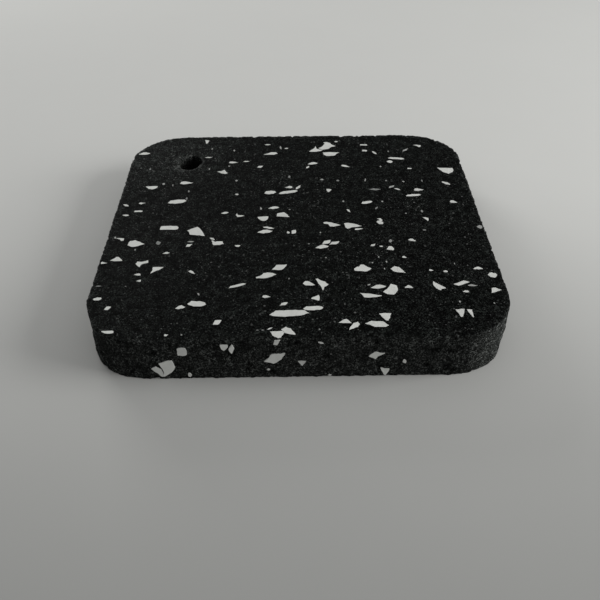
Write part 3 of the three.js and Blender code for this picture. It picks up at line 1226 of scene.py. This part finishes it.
class TILE_OT_rubber_slab(bpy.types.Operator):
    """Build the black crumb rubber slab with its hanging hole"""

    bl_idname = "floor_tile.rubber_slab"
    bl_label = "Rubber Slab"

    def execute(self, context):
        settings = context.scene.floor_tile_slab
        slab = new_object("crumb_rubber_slab", build_slab(settings), black_rubber_material(settings))
        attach(slab, BODY)
        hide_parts(NODE)
        return {"FINISHED"}


class TILE_OT_pale_chips(bpy.types.Operator):
    """Set the pale rubber chips into every face of the slab"""

    bl_idname = "floor_tile.pale_chips"
    bl_label = "Pale Chips"

    def execute(self, context):
        chips = context.scene.floor_tile_chips
        built = build_chips(chips, context.scene.floor_tile_slab)
        inlays = new_object("pale_rubber_chips", built, pale_rubber_material(chips))
        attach(inlays, BODY)
        return {"FINISHED"}


def area_light(name, place, target, size, power, colour):
    """A square soft light at a place, turned to a target."""
    data = bpy.data.lights.new(name, "AREA")
    data.shape = "SQUARE"
    data.size = size
    data.energy = power
    data.color = colour
    light = bpy.data.objects.new(name, data)
    light.location = place
    light.rotation_euler = (Vector(target) - Vector(place)).to_track_quat("-Z", "Y").to_euler()
    bpy.context.scene.collection.objects.link(light)


def studio_camera():
    """The camera at the photograph's viewing angle."""
    back = Vector((
        math.sin(CAMERA_AZIMUTH) * math.cos(CAMERA_ELEVATION),
        -math.cos(CAMERA_AZIMUTH) * math.cos(CAMERA_ELEVATION), math.sin(CAMERA_ELEVATION)))
    level = Vector((math.cos(CAMERA_AZIMUTH), math.sin(CAMERA_AZIMUTH), 0))
    up = back.cross(level)
    right = math.cos(CAMERA_ROLL) * level + math.sin(CAMERA_ROLL) * up
    upright = math.cos(CAMERA_ROLL) * up - math.sin(CAMERA_ROLL) * level
    data = bpy.data.cameras.new("studio_camera")
    data.sensor_width = 36.0
    data.lens = CAMERA_LENS
    data.clip_start = 5 * MM
    data.clip_end = 20.0
    camera = bpy.data.objects.new("studio_camera", data)
    place = Matrix((right, upright, back)).transposed().to_4x4()
    place.translation = CAMERA_AIM + back * CAMERA_DISTANCE
    camera.matrix_world = place
    bpy.context.scene.collection.objects.link(camera)
    bpy.context.scene.camera = camera


class TILE_OT_studio(bpy.types.Operator):
    """Set up the plain floor, the soft lights and the camera"""

    bl_idname = "floor_tile.studio"
    bl_label = "Studio"

    def execute(self, context):
        settings = context.scene.floor_tile_stage
        built = bmesh.new()
        bmesh.ops.create_grid(
            built, x_segments=1, y_segments=1, size=3.0,
            matrix=Matrix.Translation((0, 0, UNDERSIDE - 0.05 * MM)))
        floor = new_object("studio_floor", built, floor_material(settings))
        world = bpy.data.worlds.new("studio_room")
        world.use_nodes = True
        background = world.node_tree.nodes["Background"]
        background.inputs["Color"].default_value = (1.0, 1.0, 1.0, 1.0)
        background.inputs["Strength"].default_value = settings.room_strength
        context.scene.world = world
        area_light(
            "key_light", KEY_LIGHT_PLACE, (0, 0, 0), 0.42, settings.key_power, (1.0, 0.995, 0.98))
        area_light(
            "back_light", BACK_LIGHT_PLACE, (0, 50 * MM, 0), 0.4, settings.back_power,
            (1.0, 0.995, 0.975))
        context.scene.view_settings.view_transform = "Standard"
        studio_camera()
        return {"FINISHED"}


class TILE_PT_panel(bpy.types.Panel):
    """Floor tile sizes, colours and steps"""

    bl_label = "Floor Tile"
    bl_idname = "TILE_PT_panel"
    bl_space_type = "VIEW_3D"
    bl_region_type = "UI"
    bl_category = "Floor Tile"

    def draw(self, context):
        layout = self.layout
        for label, settings, operator in (
            ("Slab", context.scene.floor_tile_slab, TILE_OT_rubber_slab),
            ("Chips", context.scene.floor_tile_chips, TILE_OT_pale_chips),
            ("Studio", context.scene.floor_tile_stage, TILE_OT_studio),
        ):
            box = layout.box()
            box.label(text=label)
            for name in settings.__annotations__:
                box.prop(settings, name)
            box.operator(operator.bl_idname)


CLASSES = (
    TileSlabSettings,
    TileChipSettings,
    TileStageSettings,
    TILE_OT_rubber_slab,
    TILE_OT_pale_chips,
    TILE_OT_studio,
    TILE_PT_panel,
)


def register():
    """Registers the settings, the operators and the panel."""
    for made_class in CLASSES:
        bpy.utils.register_class(made_class)
    bpy.types.Scene.floor_tile_slab = bpy.props.PointerProperty(type=TileSlabSettings)
    bpy.types.Scene.floor_tile_chips = bpy.props.PointerProperty(type=TileChipSettings)
    bpy.types.Scene.floor_tile_stage = bpy.props.PointerProperty(type=TileStageSettings)


def unregister():
    """Removes what register added."""
    del bpy.types.Scene.floor_tile_stage
    del bpy.types.Scene.floor_tile_chips
    del bpy.types.Scene.floor_tile_slab
    for made_class in reversed(CLASSES):
        bpy.utils.unregister_class(made_class)


def main():
    """Builds the pieces and the studio."""
    register()
    bpy.ops.floor_tile.rubber_slab()
    bpy.ops.floor_tile.pale_chips()
    bpy.ops.floor_tile.studio()


if __name__ == "__main__":
    main()
